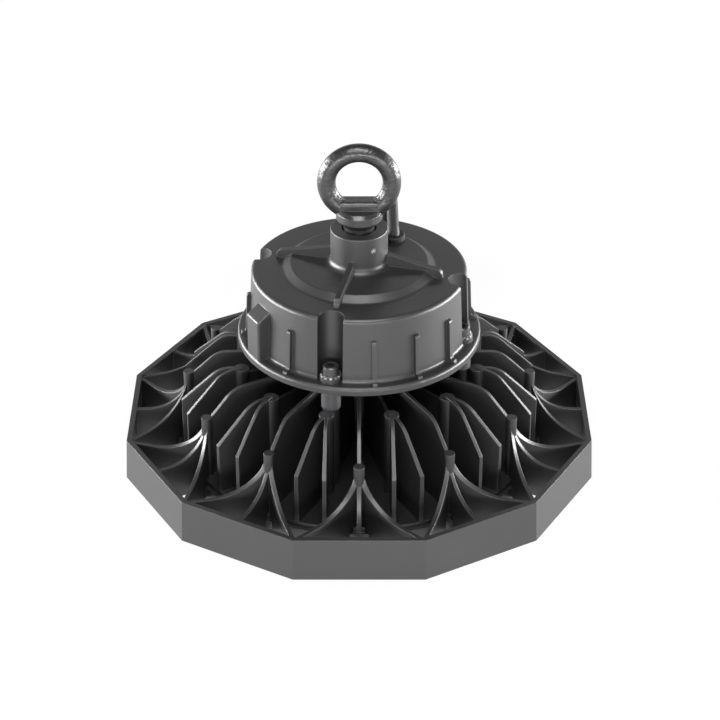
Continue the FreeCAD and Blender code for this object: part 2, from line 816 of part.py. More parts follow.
def driver_base_plate():
    """The plate that closes the housing, with four posts for the driver."""
    posts = [rod(board_post_diameter, plate_top - overlap, driver_board_under, place)
             for place in post_places()]
    holes = small_countersinks(base_screw_bearings(), base_screw_circle, housing_base,
                               base_plate_thickness)
    holes.append(rod(wire_bore, housing_base - past, plate_top + past))
    holes += [rod(small_screw + 2 * thread_gap, driver_board_top - driver_screw_length - tip_gap,
                  driver_board_under + past, place) for place in post_places()]
    plate = lobed_disc(base_plate_radius, housing_base, plate_top, seat_gap)
    return fuse_all([plate] + posts).cut(Part.makeCompound(holes))


def base_plate_screws():
    """Countersunk screws from below, into the housing's bosses."""
    return small_countersunk_screws(base_screw_bearings(), base_screw_circle, housing_base,
                                    base_screw_length)


def housing_screws():
    """Socket cap screws through housing and spacer into the heat sink."""
    head_top = head_seat + cap_head_height
    shank, head = mount_screw / 2, cap_head_diameter / 2
    screw = turned((
        (0, mount_screw_tip), (shank - screw_bevel, mount_screw_tip),
        (shank, mount_screw_tip + screw_bevel), (shank, head_seat), (head, head_seat),
        (head, head_top - screw_bevel), (head - screw_bevel, head_top), (0, head_top)))
    screw = screw.cut(hexagon(hex_key, head_top - hex_depth, head_top + past))
    return copies_at(screw, mount_places())


def toothed_lock_washers():
    """Lock washers with outside teeth, under the screw heads."""
    tip = lock_washer_diameter / 2
    corners = []
    for i in range(lock_washer_teeth):
        for radius, turn in ((tip, -lock_washer_land / 2), (tip, lock_washer_land / 2),
                             (tip - lock_washer_tooth, 0.5)):
            corners.append(at(radius, (i + turn) * 360.0 / lock_washer_teeth, pad_top))
    washer = Part.Face(Part.makePolygon(corners + corners[:1]))
    washer = washer.extrude(Vector(0, 0, lock_washer_thickness))
    washer = washer.cut(rod(mount_screw + 2 * slip_gap, pad_top - past, head_seat + past))
    return copies_at(washer, mount_places())


# ---- driver ---------------------------------------------------------------
def insulating_sheet():
    """The thin sheet between the driver and the base plate."""
    low, high = plate_top, plate_top + insulating_sheet_thickness
    holes = [rod(wire_bore, low - past, high + past)]
    holes += [rod(board_post_diameter + 2 * seat_gap, low - past, high + past, place)
              for place in post_places()]
    return rod(2 * driver_board_radius, low, high).cut(Part.makeCompound(holes))


def driver_board():
    """The round board that carries the driver's components."""
    low, high = driver_board_under, driver_board_top
    holes = [rod(led_lead_diameter + 2 * thread_gap, low - past, high + past, place)
             for place in lead_places()]
    holes += [rod(small_screw + 2 * slip_gap, low - past, high + past, place) for place in post_places()]
    return rod(2 * driver_board_radius, low, high).cut(Part.makeCompound(holes))


def driver_board_screws():
    """Pan-headed screws into the base plate's posts."""
    head, shank = pan_head / 2, small_screw / 2
    screw = turned((
        (0, -driver_screw_length), (shank, -driver_screw_length), (shank, 0), (head, 0),
        (head, pan_height - pan_bevel), (head - pan_bevel, pan_height), (0, pan_height)))
    return copies_at(screw, post_places(), driver_board_top)


def board_block(width, depth, height, centre, level=driver_board_top):
    """A block over a plan place, from the driver board or another level up."""
    x, y = centre
    return Part.makeBox(width, depth, height, Vector(x - width / 2, y - depth / 2, level))


def transformer_core():
    """The ferrite frame: two outer limbs, two yokes and the middle limb."""
    window = board_block(transformer_width - 2 * transformer_limb, transformer_depth + 2 * past,
                         transformer_height - 2 * transformer_limb, transformer_place,
                         driver_board_top + transformer_limb)
    frame = board_block(transformer_width, transformer_depth, transformer_height, transformer_place)
    middle = rod(transformer_centre_limb, driver_board_top + overlap,
                 driver_board_top + transformer_height - overlap, Vector(*transformer_place, 0))
    return fuse_all([frame.cut(window), middle])


def transformer_winding():
    """The taped winding round the core's middle limb."""
    low = driver_board_top + transformer_limb + winding_gap
    high = driver_board_top + transformer_height - transformer_limb - winding_gap
    place = Vector(*transformer_place, 0)
    bore = rod(transformer_centre_limb + 2 * thread_gap, low - past, high + past, place)
    return rod(winding_diameter, low, high, place).cut(bore)


def bulk_capacitors():
    """Two electrolytic cans, with the groove near their foot."""
    half = capacitor_diameter / 2
    can = turned((
        (0, 0), (half, 0), (half, capacitor_groove_level - capacitor_groove),
        (half - capacitor_groove, capacitor_groove_level),
        (half, capacitor_groove_level + capacitor_groove),
        (half, capacitor_height), (0, capacitor_height)))
    return copies_at(can, [Vector(*place, 0) for place in capacitor_places], driver_board_top)


def input_choke():
    """The ring choke, lying on its winding."""
    choke = turned((
        (choke_inner_radius, 0, choke_round), (choke_outer_radius, 0, choke_round),
        (choke_outer_radius, choke_height, choke_round),
        (choke_inner_radius, choke_height, choke_round)))
    return choke.translated(Vector(*choke_place, driver_board_top))


def switch_heat_spreader():
    """The bent plate that cools the driver's switching devices."""
    x, y = spreader_place
    back_y = y + (spreader_foot - spreader_thickness) / 2
    foot = board_block(spreader_length, spreader_foot, spreader_thickness, spreader_place)
    back = board_block(spreader_length, spreader_thickness, spreader_height, (x, back_y))
    return fuse_all([foot, back])


def core_places():
    """Where the three supply cores stand under the gland."""
    x, y = gland_place
    return [Vector(x + side * core_pitch, y, 0) for side in (-1, 0, 1)]


def terminal_block():
    """The block that takes the three supply cores."""
    body = board_block(terminal_width, terminal_depth, terminal_height, gland_place)
    holes = [rod(core_diameter + 2 * thread_gap, terminal_top - terminal_hole_depth,
                 terminal_top + past, place) for place in core_places()]
    return body.cut(Part.makeCompound(holes))


def supply_cores():
    """The cable's three cores, from the gland to the terminal block."""
    core = rod(core_diameter, terminal_top - terminal_hole_depth, gland_under)
    return copies_at(core, core_places())


def lamp_leads():
    """The two leads from the driver board down to the lamp board."""
    return copies_at(rod(led_lead_diameter, board_under, driver_board_top + lead_tail), lead_places())


# ---- cable ----------------------------------------------------------------
def cable_gland():
    """The gland: a low flange, a boot that points along the cable, a spigot."""
    place = Vector(*gland_place, 0)
    flange = rod(gland_flange_diameter, crown, crown + gland_flange_height, place)
    flange = flange.makeChamfer(gland_flange_bevel, [flange.Edges[0]])
    exit_point = Vector(*cable_route[0])
    heading = (Vector(*cable_route[1]) - exit_point).normalize()
    length = (exit_point - Vector(place.x, place.y, crown)).dot(heading)
    boot = Part.makeCone(gland_boot_diameter / 2, cable_diameter / 2 + gland_boot_wall, length,
                         exit_point - heading * length, heading)
    below = rod(4 * gland_boot_diameter, crown - gland_boot_diameter, crown, place)
    spigot = rod(gland_spigot_diameter, gland_under, crown + overlap, place)
    return fuse_all([flange, boot.cut(below), spigot])


def gland_nut():
    """The nut that holds the gland, under the housing's top."""
    low, high = cavity_roof - gland_nut_height, cavity_roof
    place = Vector(*gland_place, 0)
    nut = hexagon(gland_nut_flats, low, high, place)
    return nut.cut(rod(gland_spigot_diameter + 2 * thread_gap, low - past, high + past, place))


def cable_path(points):
    """Straight runs joined by the largest tangent arcs that they allow."""
    corners = [Vector(*p) for p in points]
    edges = []
    last = corners[0]
    for before, corner, after in zip(corners, corners[1:], corners[2:]):
        back = (before - corner).normalize()
        on = (after - corner).normalize()
        reach = 0.45 * min((before - corner).Length, (after - corner).Length)
        half_turn = (math.pi - back.getAngle(on)) / 2
        radius = reach / math.tan(half_turn)
        print(f"cable bend: radius {radius:.1f}, turn {math.degrees(2 * half_turn):.1f}")
        first = corner + back * reach
        final = corner + on * reach
        inward = (back + on).normalize()
        crest = corner + inward * (radius / math.cos(half_turn) - radius)
        edges.append(Part.LineSegment(last, first).toShape())
        edges.append(Part.Arc(first, crest, final).toShape())
        last = final
    edges.append(Part.LineSegment(last, corners[-1]).toShape())
    return Part.Wire(edges)


def supply_cable():
    """The cable from the gland to the coil."""
    path = cable_path(cable_route)
    start = Vector(*cable_route[0])
    heading = Vector(*cable_route[1]) - start
    section = Part.Wire(Part.makeCircle(cable_diameter / 2, start, heading))
    tube = path.makePipeShell([section], True, True, 0)
    expected = math.pi * cable_diameter ** 2 / 4 * path.Length
    print(f"cable: length {path.Length:.1f}, volume {tube.Volume:.0f}, expected {expected:.0f}")
    return tube


def cable_coil():
    """The closed outer shape of the coil, with the cable's way in and out."""
    half = cable_diameter / 2
    outer = coil_turn_radius + cable_diameter
    inner = coil_turn_radius - cable_diameter
    top = cable_diameter + coil_layer_rise
    body = turned((
        (inner, 0), (outer, 0), (outer, top - coil_bevel), (outer - coil_bevel, top),
        (inner + coil_bevel, top), (inner, top - coil_bevel)))
    centre = Vector(*coil_centre, 0)
    before, arrival = (Vector(*point) for point in cable_route[-2:])
    lead_in = Part.makeCylinder(half, lead_in_length, arrival, arrival - before)
    leaving = centre + Vector(-coil_turn_radius - half, 0, half)
    lead_out = Part.makeCylinder(half, lead_out_length, leaving, BACKWARD)
    return fuse_all([body.translated(centre), lead_in, lead_out])


def cable_end_cores():
    """The three stripped cores at the cable's free end, with ferrules."""
    half = cable_diameter / 2
    end = Vector(*coil_centre, half) + Vector(-coil_turn_radius - half, lead_out_length, 0)
    cores = []
    for bearing in (0, 120, 240):
        turn = math.radians(bearing)
        start = end + Vector(core_spread * math.sin(turn), 0, core_spread * math.cos(turn))
        core = Part.makeCylinder(core_diameter / 2, core_strip / 2, start, BACKWARD)
        ferrule = Part.makeCylinder(core_end_diameter / 2, core_strip, start, BACKWARD)
        cores.append(fuse_all([core, ferrule]))
    return Part.makeCompound(cores)


# ---- eye bolt -------------------------------------------------------------
def eye_bolt():
    """The forged eye: ring, pad, collar and shank in one."""
    eye = Part.makeTorus(eye_ring_radius, eye_ring_section / 2, Vector(0, 0, eye_centre), BACKWARD)
    collar = turned((
        (0, hub_top), (eye_foot_radius, hub_top), (eye_foot_radius, hub_top + eye_foot_height),
        (eye_collar_radius, collar_under), (eye_collar_radius, collar_top - eye_collar_bevel),
        (eye_collar_radius - eye_collar_bevel, collar_top), (0, collar_top)))
    edge = eye_pad_thickness / 2
    pad = cut_from_plate((
        (-edge, collar_top - overlap), (edge, collar_top - overlap),
        (edge, collar_top + eye_pad_rise, eye_pad_round),
        (-edge, collar_top + eye_pad_rise, eye_pad_round)), eye_pad_width)
    tip = hub_top - eye_shank_length
    half = eye_shank / 2
    shank = turned((
        (0, tip), (half - eye_shank_bevel, tip), (half, tip + eye_shank_bevel),
        (half, hub_top + overlap), (0, hub_top + overlap)))
    return fuse_all([eye, pad, collar, shank])


def eye_bolt_lock_nut():
    """The thin nut that locks the eye bolt, in the hub's cup."""
    nut = hexagon(lock_nut_flats, cup_floor, hub_top)
    return nut.cut(rod(eye_shank + 2 * thread_gap, cup_floor - past, hub_top + past))


def eye_bolt_grub_screw():
    """The headless screw through the hub's side, against the shank."""
    inner = eye_shank / 2
    length = eye_hub_radius - grub_recess - inner
    heading = at(1, grub_bearing)
    start = at(inner, grub_bearing, hub_top - grub_drop)
    screw = Part.makeCylinder(grub_screw / 2, length, start, heading)
    socket = Part.makeCylinder(grub_socket / 2, grub_socket_depth + past,
                               start + heading * (length - grub_socket_depth), heading)
    return screw.cut(socket)


# ---- write the pieces -----------------------------------------------------
PIECES = (
    heat_sink, thermal_pad, led_board, led_packages, board_screws, lens_cover, lens_gasket,
    lens_clamp_ring, lens_ring_screws, standoff_spacers, wire_conduit, conduit_seals,
    driver_housing, housing_gasket, driver_base_plate, base_plate_screws, housing_screws,
    toothed_lock_washers, insulating_sheet, driver_board, driver_board_screws,
    transformer_core, transformer_winding, bulk_capacitors, input_choke,
    switch_heat_spreader, terminal_block, supply_cores, lamp_leads, cable_gland, gland_nut,
    supply_cable, cable_coil, cable_end_cores, eye_bolt, eye_bolt_lock_nut,
    eye_bolt_grub_screw)

os.makedirs("parts", exist_ok=True)
for piece in PIECES:
    shape = piece()
    shape.exportStep(f"parts/{piece.__name__}.step")
    box = shape.BoundBox
    print(f"{piece.__name__}: {len(shape.Solids)} solid(s), valid {shape.isValid()}, "
          f"{shape.Volume / 1000:.2f} cm3, {box.XLength:.1f} x {box.YLength:.1f} x {box.ZLength:.1f} mm")
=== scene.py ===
# %% [markdown]
# # A high bay light, dressed for its portrait
# The lamp's solids are already drawn to size. This lesson gives them their finishes, lays the supply
# cable, and sets up the studio. First we load the fixed frame.

# %% Load the frame
import json
import math

import bpy
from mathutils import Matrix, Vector


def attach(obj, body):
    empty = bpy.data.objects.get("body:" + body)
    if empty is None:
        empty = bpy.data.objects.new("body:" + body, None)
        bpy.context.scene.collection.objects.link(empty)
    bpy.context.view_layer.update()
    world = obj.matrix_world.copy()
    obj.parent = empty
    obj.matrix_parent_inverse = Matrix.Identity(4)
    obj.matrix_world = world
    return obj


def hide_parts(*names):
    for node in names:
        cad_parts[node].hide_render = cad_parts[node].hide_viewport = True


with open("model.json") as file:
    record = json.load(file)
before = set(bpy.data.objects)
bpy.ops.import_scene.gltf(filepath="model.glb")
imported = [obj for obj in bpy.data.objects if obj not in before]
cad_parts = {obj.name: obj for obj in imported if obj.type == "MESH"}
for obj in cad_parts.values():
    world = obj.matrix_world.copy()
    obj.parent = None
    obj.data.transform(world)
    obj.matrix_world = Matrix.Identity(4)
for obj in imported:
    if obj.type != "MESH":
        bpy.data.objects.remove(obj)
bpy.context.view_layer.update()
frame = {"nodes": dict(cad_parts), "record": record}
nodes = frame["nodes"]

# %% [markdown]
# ## The camera
# A product portrait is taken from a little above, with a long lens that keeps the rim's sides nearly
# parallel. The camera could be moved by eye, but values are easier to read and to change. It stands
# on a circle round a point low on the lamp's axis, so three of them place it: how far, how high and
# what it looks at. A small sideways shift centres the picture.

# %% Camera
camera_distance = 1.2815
camera_elevation = math.radians(31.38)
camera_target = Vector((0.0, 0.0, 0.0554))

camera_data = bpy.data.cameras.new("portrait_camera")
camera_data.lens = 114.8
camera_data.sensor_width = 36.0
camera_data.shift_x = 0.0012
camera_data.clip_start = 0.05
camera = bpy.data.objects.new("portrait_camera", camera_data)
bpy.context.collection.objects.link(camera)
reach = Vector((0.0, -math.cos(camera_elevation), math.sin(camera_elevation)))
camera.location = camera_target + camera_distance * reach
camera.rotation_euler = (math.radians(90.0) - camera_elevation, 0.0, 0.0)
bpy.context.scene.camera = camera
print("camera at", tuple(round(v, 4) for v in camera.location))

# %% [markdown]
# ## The supply cable
# A high bay light comes with about a metre of round cable. It leaves the gland, arches up behind the
# eye bolt, runs down behind the lamp, and its spare length lies coiled on the floor: one turn on top
# of two. It could be a tube swept along arcs, but that looks like bent wire. A bevelled NURBS curve
# suits it better, because its control points give one smooth line, and order 3 keeps that line
# close to them. Each point's radius carries the sheath's half thickness, over a bevel depth of 1.

# %% The cable's free run, from the gland to the coil
cable_diameter = 0.0064
cable_route = [
    (0.0188, 0.0288, 0.1236),
    (0.0184, 0.0386, 0.1346),
    (0.0169, 0.0514, 0.1401),
    (0.0160, 0.0667, 0.1396),
    (0.0164, 0.0802, 0.1324),
    (0.0172, 0.0904, 0.1194),
    (0.0168, 0.0980, 0.1020),
    (0.0142, 0.1046, 0.0844),
    (0.0096, 0.1116, 0.0674),
    (0.0028, 0.1200, 0.0518),
    (-0.0076, 0.1302, 0.0366),
    (-0.0145, 0.1384, 0.0264),
    (-0.0208, 0.1488, 0.0174),
    (-0.0254, 0.1606, 0.0114),
    (-0.0270, 0.1740, 0.0095),
    (-0.0282, 0.1880, 0.0098),
]

# %% The coil's turns, worked out by a loop
coil_centre = Vector((0.0068, 0.2028, 0.0))
turn_radius = 0.035
floor_level = cable_diameter / 2
layer_rise = 0.0057
top_level = floor_level + layer_rise
# Angles round the coil, in degrees: where the top turn drops to the floor, and where the first turn on
# the floor gives way to the one outside it.
drop_start, drop_end = 312.0, 360.0
shift_start, shift_end = 615.0, 665.0
# The top turn rises a little where it passes over another: how high, and (middle, width) in degrees.
crossing_rise = 0.0009
crossings = ((280.0, 28.0), (-8.0, 20.0))
points_per_turn = 16
# A quadratic spline runs a little inside its control points, so they stand that much further out.
outward = 1.0 / math.cos(math.pi / points_per_turn)


def step_between(angle, start, end):
    """0 before start, 1 after end, and a smooth rise between them."""
    share = min(max((angle - start) / (end - start), 0.0), 1.0)
    return share * share * (3.0 - 2.0 * share)


def coil_point(angle):
    """The cable's middle after that many degrees round the coil: the top turn, then two on the floor."""
    down = step_between(angle, drop_start, drop_end)
    out = step_between(angle, shift_start, shift_end)
    radius = turn_radius + cable_diameter / 2 * (2.0 * out - down)
    level = top_level + (floor_level - top_level) * down
    humps = sum(math.exp(-((angle - centre) / width) ** 2) for centre, width in crossings)
    level += crossing_rise * humps * (1.0 - down)
    turn = math.radians(angle)
    around = Vector((-math.cos(turn), math.sin(turn), 0.0)) * radius * outward
    return coil_centre + around + Vector((0.0, 0.0, level))


coil_turns = 3
lead_out = 0.026
cable_points = list(cable_route)
for step in range(1, coil_turns * points_per_turn):
    cable_points.append(tuple(coil_point(step * 360.0 / points_per_turn)))
leaving = coil_centre + Vector((-turn_radius - cable_diameter / 2, 0.0, floor_level))
for share in (0.0, 0.5, 1.0):
    cable_points.append(tuple(leaving + Vector((0.0, lead_out * share, 0.0))))
print(len(cable_points), "control points on the cable")

# %% The cable itself
cable_curve = bpy.data.curves.new("supply_cable_sheath", "CURVE")
cable_curve.dimensions = "3D"
cable_curve.bevel_depth = 1.0
cable_curve.bevel_resolution = 8
cable_curve.use_fill_caps = True
cable_curve.resolution_u = 8
spline = cable_curve.splines.new("NURBS")
spline.points.add(len(cable_points) - 1)
for point, place in zip(spline.points, cable_points):
    point.co = (*place, 1.0)
    point.radius = cable_diameter / 2
spline.order_u = 3
spline.use_endpoint_u = True
cable = bpy.data.objects.new("supply_cable_sheath", cable_curve)
bpy.context.collection.objects.link(cable)

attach(cable, "root")
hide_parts("supply_cable", "cable_coil")
print("cable laid")

# %% [markdown]
# ## Effects that several finishes share
# A shader node group is a small machine with named inputs. We build each effect once and place it in
# every material that needs it, with that material's own values. Each group puts out only a colour, a
# mask, a value or a normal. The shader itself stays in the material.

# %% Helpers for node groups
def start_group(name, inputs, outputs):
    """A new group with sockets given as {name: (type, default)} and {name: type}."""
    group = bpy.data.node_groups.new(name, "ShaderNodeTree")
    for label, (kind, default) in inputs.items():
        socket = group.interface.new_socket(name=label, in_out="INPUT", socket_type=kind)
        socket.default_value = default
    for label, kind in outputs.items():
        group.interface.new_socket(name=label, in_out="OUTPUT", socket_type=kind)
    entry = group.nodes.new("NodeGroupInput")
    leave = group.nodes.new("NodeGroupOutput")
    return group, entry, leave


def add(tree, kind, links=(), **settings):
    """A node with its settings, and links given as (input name or number, output socket)."""
    node = tree.nodes.new(kind)
    for key, value in settings.items():
        setattr(node, key, value)
    for socket, source in links:
        tree.links.new(source, node.inputs[socket])
    return node


def arithmetic(tree, operation, first, second):
    """A Math node over two sockets or numbers."""
    node = tree.nodes.new("ShaderNodeMath")
    node.operation = operation
    for slot, value in enumerate((first, second)):
        if isinstance(value, (int, float)):
            node.inputs[slot].default_value = value
        else:
            tree.links.new(value, node.inputs[slot])
    return node.outputs[0]


def noise(tree, place, scale, detail=3.0, roughness=0.5):
    """A noise texture over the lamp's own coordinates."""
    node = add(tree, "ShaderNodeTexNoise", [("Vector", place)])
    node.inputs["Detail"].default_value = detail
    node.inputs["Roughness"].default_value = roughness
    if isinstance(scale, (int, float)):
        node.inputs["Scale"].default_value = scale
    else:
        tree.links.new(scale, node.inputs["Scale"])
    return node.outputs["Fac"]

# %% [markdown]
# ### Powder coat
# Powder coat melts into a skin with a fine orange peel, a grain of under a millimetre, and slow
# cloudy changes where it lies thicker. A painted picture would have to be laid out flat over every
# fin, so we use noise over the lamp's own coordinates instead, which needs no layout. Fine noise and
# the coarser peel add up to the grain's height, and slow noise gives the clouds their tone.

# %% The powder coat group
peel_share = 0.33        # the peel's scale, as a share of the grain's
peel_weight = 1.5        # how much higher the peel stands than the grain


def build_powder_grain():
    """Grain height, and a slow tone from 0 to 1."""
    group, entry, leave = start_group(
        "powder_grain",
        {"Grain Scale": ("NodeSocketFloat", 1400.0), "Cloud Scale": ("NodeSocketFloat", 22.0)},
        {"Height": "NodeSocketFloat", "Tone": "NodeSocketFloat"})
    place = add(group, "ShaderNodeTexCoord").outputs["Object"]
    fine = noise(group, place, entry.outputs["Grain Scale"], detail=2.0, roughness=0.6)
    peel_scale = arithmetic(group, "MULTIPLY", entry.outputs["Grain Scale"], peel_share)
    peel = noise(group, place, peel_scale, detail=1.0)
    height = arithmetic(group, "ADD", fine, arithmetic(group, "MULTIPLY", peel, peel_weight))
    group.links.new(height, leave.inputs["Height"])
    clouds = noise(group, place, entry.outputs["Cloud Scale"], detail=4.0, roughness=0.6)
    group.links.new(clouds, leave.inputs["Tone"])
    return group


powder_grain = build_powder_grain()
print("group", powder_grain.name)

# %% [markdown]
# ### Edges
# No cast or painted edge is sharp. Real roundings on all the fins would cost many triangles, and a
# Bevel node rounds only the shading, which is enough to give each fin its thin bright line. Where the
# rounded normal leaves the flat one, we are at an edge, so their difference is also a mask. It lightens
# the coat's colour on edges, partly for coat that lies thinner there and partly as a painted highlight.

# %% The soft edge group
def build_soft_edge():
    """A normal rounded at edges, and a mask that is 1 on them."""
    group, entry, leave = start_group(
        "soft_edge", {"Radius": ("NodeSocketFloat", 0.0005), "Sharpness": ("NodeSocketFloat", 6.0)},
        {"Normal": "NodeSocketVector", "Mask": "NodeSocketFloat"})
    bevel = add(group, "ShaderNodeBevel", samples=4)
    group.links.new(entry.outputs["Radius"], bevel.inputs["Radius"])
    flat = add(group, "ShaderNodeNewGeometry").outputs["Normal"]
    agree = add(group, "ShaderNodeVectorMath", [(0, bevel.outputs[0]), (1, flat)],
                operation="DOT_PRODUCT")
    apart = arithmetic(group, "SUBTRACT", 1.0, agree.outputs["Value"])
    mask = add(group, "ShaderNodeMath", operation="MULTIPLY", use_clamp=True)
    group.links.new(apart, mask.inputs[0])
    group.links.new(entry.outputs["Sharpness"], mask.inputs[1])
    group.links.new(bevel.outputs[0], leave.inputs["Normal"])
    group.links.new(mask.outputs[0], leave.inputs["Mask"])
    return group


soft_edge = build_soft_edge()
print("group", soft_edge.name)

# %% [markdown]
# ### Fine scratches and handling marks
# Plated and turned steel is never even: it has fine lines and small cloudy marks. Lines could be
# modelled as grooves, but they are far too fine for that. Stretching the coordinates along one axis
# squeezes noise into fine lines across it, and noise left as it is, four times coarser, gives the
# marks.

# %% The metal wear group
marks_share = 0.25       # the marks' scale, as a share of the lines'


def build_metal_marks():
    """Line height, and a mask of cloudy marks."""
    group, entry, leave = start_group(
        "metal_marks",
        {"Scale": ("NodeSocketFloat", 900.0), "Stretch": ("NodeSocketVector", (1.0, 1.0, 12.0))},
        {"Height": "NodeSocketFloat", "Marks": "NodeSocketFloat"})
    place = add(group, "ShaderNodeTexCoord").outputs["Object"]
    pulled = add(group, "ShaderNodeVectorMath", [(0, place), (1, entry.outputs["Stretch"])],
                 operation="MULTIPLY")
    lines = noise(group, pulled.outputs[0], entry.outputs["Scale"], detail=3.0, roughness=0.6)
    marks_scale = arithmetic(group, "MULTIPLY", entry.outputs["Scale"], marks_share)
    marks = noise(group, place, marks_scale, detail=5.0, roughness=0.65)
    group.links.new(lines, leave.inputs["Height"])
    group.links.new(marks, leave.inputs["Marks"])
    return group


metal_marks = build_metal_marks()
print("group", metal_marks.name)

# %% [markdown]
# ## Materials
# Every finish is a Principled shader with one or two of the effects above. A small helper starts the
# material and sets the plain values. What changes over the surface is linked.

# %% Helpers for materials
def start_material(name, roughness=0.5, metallic=0.0, **plain):
    """A material with its Principled shader and plain values set."""
    material = bpy.data.materials.new(name)
    material.use_nodes = True
    shader = material.node_tree.nodes["Principled BSDF"]
    shader.inputs["Roughness"].default_value = roughness
    shader.inputs["Metallic"].default_value = metallic
    for label, value in plain.items():
        shader.inputs[label.replace("_", " ")].default_value = value
    return material, material.node_tree, shader


def place_group(tree, group, **values):
    """A group placed in a material, with its own values."""
    node = tree.nodes.new("ShaderNodeGroup")
    node.node_tree = group
    for label, value in values.items():
        node.inputs[label.replace("_", " ")].default_value = value
    return node


def between(tree, mask, low, high):
    """A colour or value that goes from low to high with a mask. Low may come from another node."""
    colour = isinstance(high, tuple)
    # A Mix node keeps the sockets of all its types side by side, so we reach them by number.
    node = tree.nodes.new("ShaderNodeMix")
    node.data_type = "RGBA" if colour else "FLOAT"
    tree.links.new(mask, node.inputs["Factor"])
    first, second = (6, 7) if colour else (2, 3)
    for slot, value in ((first, low), (second, high)):
        if hasattr(value, "is_output"):
            tree.links.new(value, node.inputs[slot])
        else:
            node.inputs[slot].default_value = (*value, 1.0) if colour else value
    return node.outputs[2 if colour else 0]


def bump(tree, height, distance, strength=1.0, normal=None):
    """A Bump node over a height."""
    node = add(tree, "ShaderNodeBump", [("Height", height)])
    node.inputs["Distance"].default_value = distance
    node.inputs["Strength"].default_value = strength
    if normal is not None:
        tree.links.new(normal, node.inputs["Normal"])
    return node.outputs["Normal"]

# %% [markdown]
# ### Black coats
# The castings wear a semi-matt black powder coat, the forged eye bolt a thicker and shinier one over
# its rough skin, and the screws a thin black oxide. Each could have nodes of its own, but they would
# differ only in their numbers. So one recipe makes them all: how dark, how rough, how coarse and deep
# the grain, how round the edges and how strong the reflection.

# %% The recipe for a black coat
# Painted highlight: this gain lightens every edge partly for the thinner coat and partly as if the edge
# caught light.
thin_coat_and_highlight_gain = 1.6     # how much lighter the coat is where it is thin, on edges
grain_strength = 0.6


def powder_coat(name, dark, light, smooth, rough,
                grain=1400.0, edge=0.0005, relief=0.00005, gloss=1.0):
    """A semi-matt coat: clouds in its tone, grain in its height and soft edges."""
    material, tree, shader = start_material(name, Specular_IOR_Level=gloss)
    grain_node = place_group(tree, powder_grain, Grain_Scale=grain)
    edge_node = place_group(tree, soft_edge, Radius=edge)
    tone = grain_node.outputs["Tone"]
    clouds = between(tree, tone, dark, light)
    # The edge colour is lighter, partly for a thinner coat and partly as a painted highlight.
    thin_coat_and_highlight_colour = tuple(min(1.0, thin_coat_and_highlight_gain * part) for part in light)
    colour = between(tree, edge_node.outputs["Mask"], clouds, thin_coat_and_highlight_colour)
    tree.links.new(colour, shader.inputs["Base Color"])
    tree.links.new(between(tree, tone, smooth, rough), shader.inputs["Roughness"])
    normal = bump(tree, grain_node.outputs["Height"], relief, strength=grain_strength,
                  normal=edge_node.outputs["Normal"])
    tree.links.new(normal, shader.inputs["Normal"])
    return material

# %% The black coats
coat_dark, coat_light = (0.011, 0.011, 0.0115), (0.016, 0.016, 0.0165)
finishes = {}
finishes["heat_sink_coat"] = powder_coat("heat_sink_coat", coat_dark, coat_light, 0.38, 0.50)
finishes["housing_coat"] = powder_coat("housing_coat", coat_dark, coat_light, 0.38, 0.50)
finishes["ring_coat"] = powder_coat("ring_coat", coat_dark, coat_light, 0.40, 0.52)
finishes["eye_coat"] = powder_coat(
    "eye_coat", (0.010, 0.010, 0.011), (0.018, 0.018, 0.019), 0.24, 0.40,
    grain=460.0, edge=0.0006, relief=0.00045, gloss=0.9)
finishes["black_steel"] = powder_coat(
    "black_steel", (0.014, 0.014, 0.015), (0.026, 0.026, 0.028), 0.28, 0.40,
    grain=2600.0, edge=0.0002, relief=0.00001)
print(len(finishes), "finishes")

# %% [markdown]
# ### Bare and plated metal
# The washers, the small screws and the wire conduit are zinc plated, the driver's heat spreader is
# bare aluminium, and the spacers are dull dark steel. A grey colour alone looks like paint, so all of
# them are fully metallic and show the room around them. The fine lines blur that a little.

# %% The recipe for metal
metal_edge = 0.0002
line_depth = 0.00001


def plated(name, low, high, smooth, rough, stretch=(1.0, 1.0, 12.0)):
    """A metal with fine lines and cloudy marks."""
    material, tree, shader = start_material(name, metallic=1.0)
    marks_node = place_group(tree, metal_marks, Stretch=stretch)
    edge_node = place_group(tree, soft_edge, Radius=metal_edge)
    marks = marks_node.outputs["Marks"]
    tree.links.new(between(tree, marks, low, high), shader.inputs["Base Color"])
    tree.links.new(between(tree, marks, smooth, rough), shader.inputs["Roughness"])
    normal = bump(tree, marks_node.outputs["Height"], line_depth, strength=0.5,
                  normal=edge_node.outputs["Normal"])
    tree.links.new(normal, shader.inputs["Normal"])
    return material

# %% The metals
finishes["zinc_steel"] = plated("zinc_steel", (0.62, 0.62, 0.63), (0.74, 0.74, 0.74), 0.22, 0.36)
finishes["bare_aluminium"] = plated(
    "bare_aluminium", (0.74, 0.74, 0.75), (0.82, 0.82, 0.83), 0.28, 0.42,
    stretch=(1.0, 14.0, 1.0))
spacer_steel = plated("spacer_steel", (0.10, 0.10, 0.105), (0.15, 0.15, 0.155), 0.46, 0.60)
print(len(finishes), "finishes")

# %% [markdown]
# ### Plastics, rubbers and boards
# Moulded and extruded parts look unreal in one even colour, because real ones have a faint grain and
# a slight change of tone. One recipe gives that to the cable's sheath, the seals, the boards and the
# driver's components. The lens is the same recipe with transmission: light goes through it, bent by
# the index of polycarbonate.

# %% The recipe for plastic
moulded_clouds = 60.0


